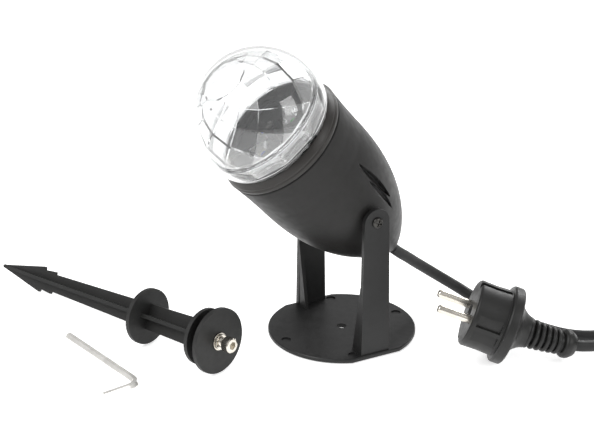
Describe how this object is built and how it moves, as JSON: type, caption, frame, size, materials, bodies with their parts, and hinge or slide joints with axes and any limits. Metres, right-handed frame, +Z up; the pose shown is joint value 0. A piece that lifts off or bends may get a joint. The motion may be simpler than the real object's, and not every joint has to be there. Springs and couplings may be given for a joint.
{
  "type": "garden light projector with ground stake",
  "caption": "Tilting garden light projector with a clear faceted dome on a U bracket, with a ground stake, hex key, cord and mains plug.",
  "frame": {"origin": "centre of the base plate's underside, at the middle of its screw hole", "axes": "+Z up, X along the tilt pivot, -Y the side that the lamp points to, +Y the side that its cord leaves from"},
  "size_m": [0.3474, 0.4155, 0.1781],
  "materials": {
    "bracket_plastic": "satin charcoal glass-filled plastic",
    "black_plastic": "satin black moulded plastic",
    "bezel_plastic": "satin dark grey plastic",
    "stake_plastic": "fine grained charcoal plastic",
    "black_rubber": "matte black flexible PVC and rubber",
    "white_plastic": "white plastic",
    "clear_acrylic": "clear polished acrylic",
    "nickel_steel": "nickel-plated steel and brass",
    "dark_steel": "dark zinc-plated steel",
    "aluminium": "plain aluminium",
    "circuit_board": "green circuit board",
    "brown_plastic": "brown insulation",
    "blue_plastic": "blue insulation",
    "red_plastic": "red insulation",
    "led_red": "coloured emitter lens",
    "led_green": "coloured emitter lens",
    "led_blue": "coloured emitter lens",
    "led_white": "coloured emitter lens"
  },
  "bodies": {
    "base": {"base_bracket": "bracket_plastic", "cord_run": "black_rubber", "cord_tail": "black_rubber", "cord_coil": "black_rubber", "coil_tie": "white_plastic", "plug_body": "black_rubber", "plug_pin_a": "nickel_steel", "plug_pin_b": "nickel_steel"},
    "head": {"bezel_gasket": "black_rubber", "clamp_screw_1": "nickel_steel", "clamp_screw_2": "nickel_steel", "clear_cover": "clear_acrylic", "collimator_blue": "clear_acrylic", "collimator_green": "clear_acrylic", "collimator_red": "clear_acrylic", "collimator_white": "clear_acrylic", "cord_clamp": "white_plastic", "cover_seal": "black_rubber", "deck_plate": "black_plastic", "driver_board": "circuit_board", "front_bezel": "bezel_plastic", "gear_motor": "nickel_steel", "head_housing": "black_plastic", "heat_sink": "aluminium", "inner_chassis": "black_plastic", "inner_cord_end": "black_rubber", "led_blue": "led_blue", "led_board": "white_plastic", "led_green": "led_green", "led_lead": "red_plastic", "led_red": "led_red", "led_white": "led_white", "mains_core_live": "brown_plastic", "mains_core_neutral": "blue_plastic", "motor_bracket": "aluminium", "motor_screw_1": "nickel_steel", "motor_screw_2": "nickel_steel", "pivot_nut_left": "nickel_steel", "pivot_nut_right": "nickel_steel", "pivot_screw_left": "dark_steel", "pivot_screw_right": "dark_steel", "pivot_washer_left": "dark_steel", "pivot_washer_right": "dark_steel", "smoothing_capacitor": "blue_plastic", "stack_screw_1": "nickel_steel", "stack_screw_2": "nickel_steel", "stack_screw_3": "nickel_steel", "strain_relief": "black_rubber", "terminal_block": "white_plastic", "transformer": "brown_plastic"},
    "rotor": {"crystal_cap": "clear_acrylic", "crystal_band": "clear_acrylic", "crystal_carrier": "black_plastic", "drive_shaft": "nickel_steel", "hub_screw": "nickel_steel"},
    "stake": {"spike_body": "stake_plastic", "spike_insert": "nickel_steel", "spike_washer": "nickel_steel", "spike_screw": "nickel_steel"},
    "key": {"hex_key": "nickel_steel"}
  },
  "joints": [
    {"name": "head_tilt", "type": "hinge", "parent": "base", "child": "head", "pos_m": [0, 0, 0.0817], "axis": [-1, 0, 0], "range_deg": [-48.7, 41.3]},
    {"name": "crystal_rotation", "type": "hinge", "parent": "head", "child": "rotor", "pos_m": [0, 0, 0.0817], "axis": [0, -0.66, 0.7513], "continuous": true},
    {"name": "stake_slide", "type": "slide", "parent": "base", "child": "stake", "axis": [-0.9373, -0.3486, 0], "range_m": [0, 0.04]},
    {"name": "key_lift", "type": "slide", "parent": "base", "child": "key", "axis": [0, 0, 1], "range_m": [0, 0.04]}
  ]
}
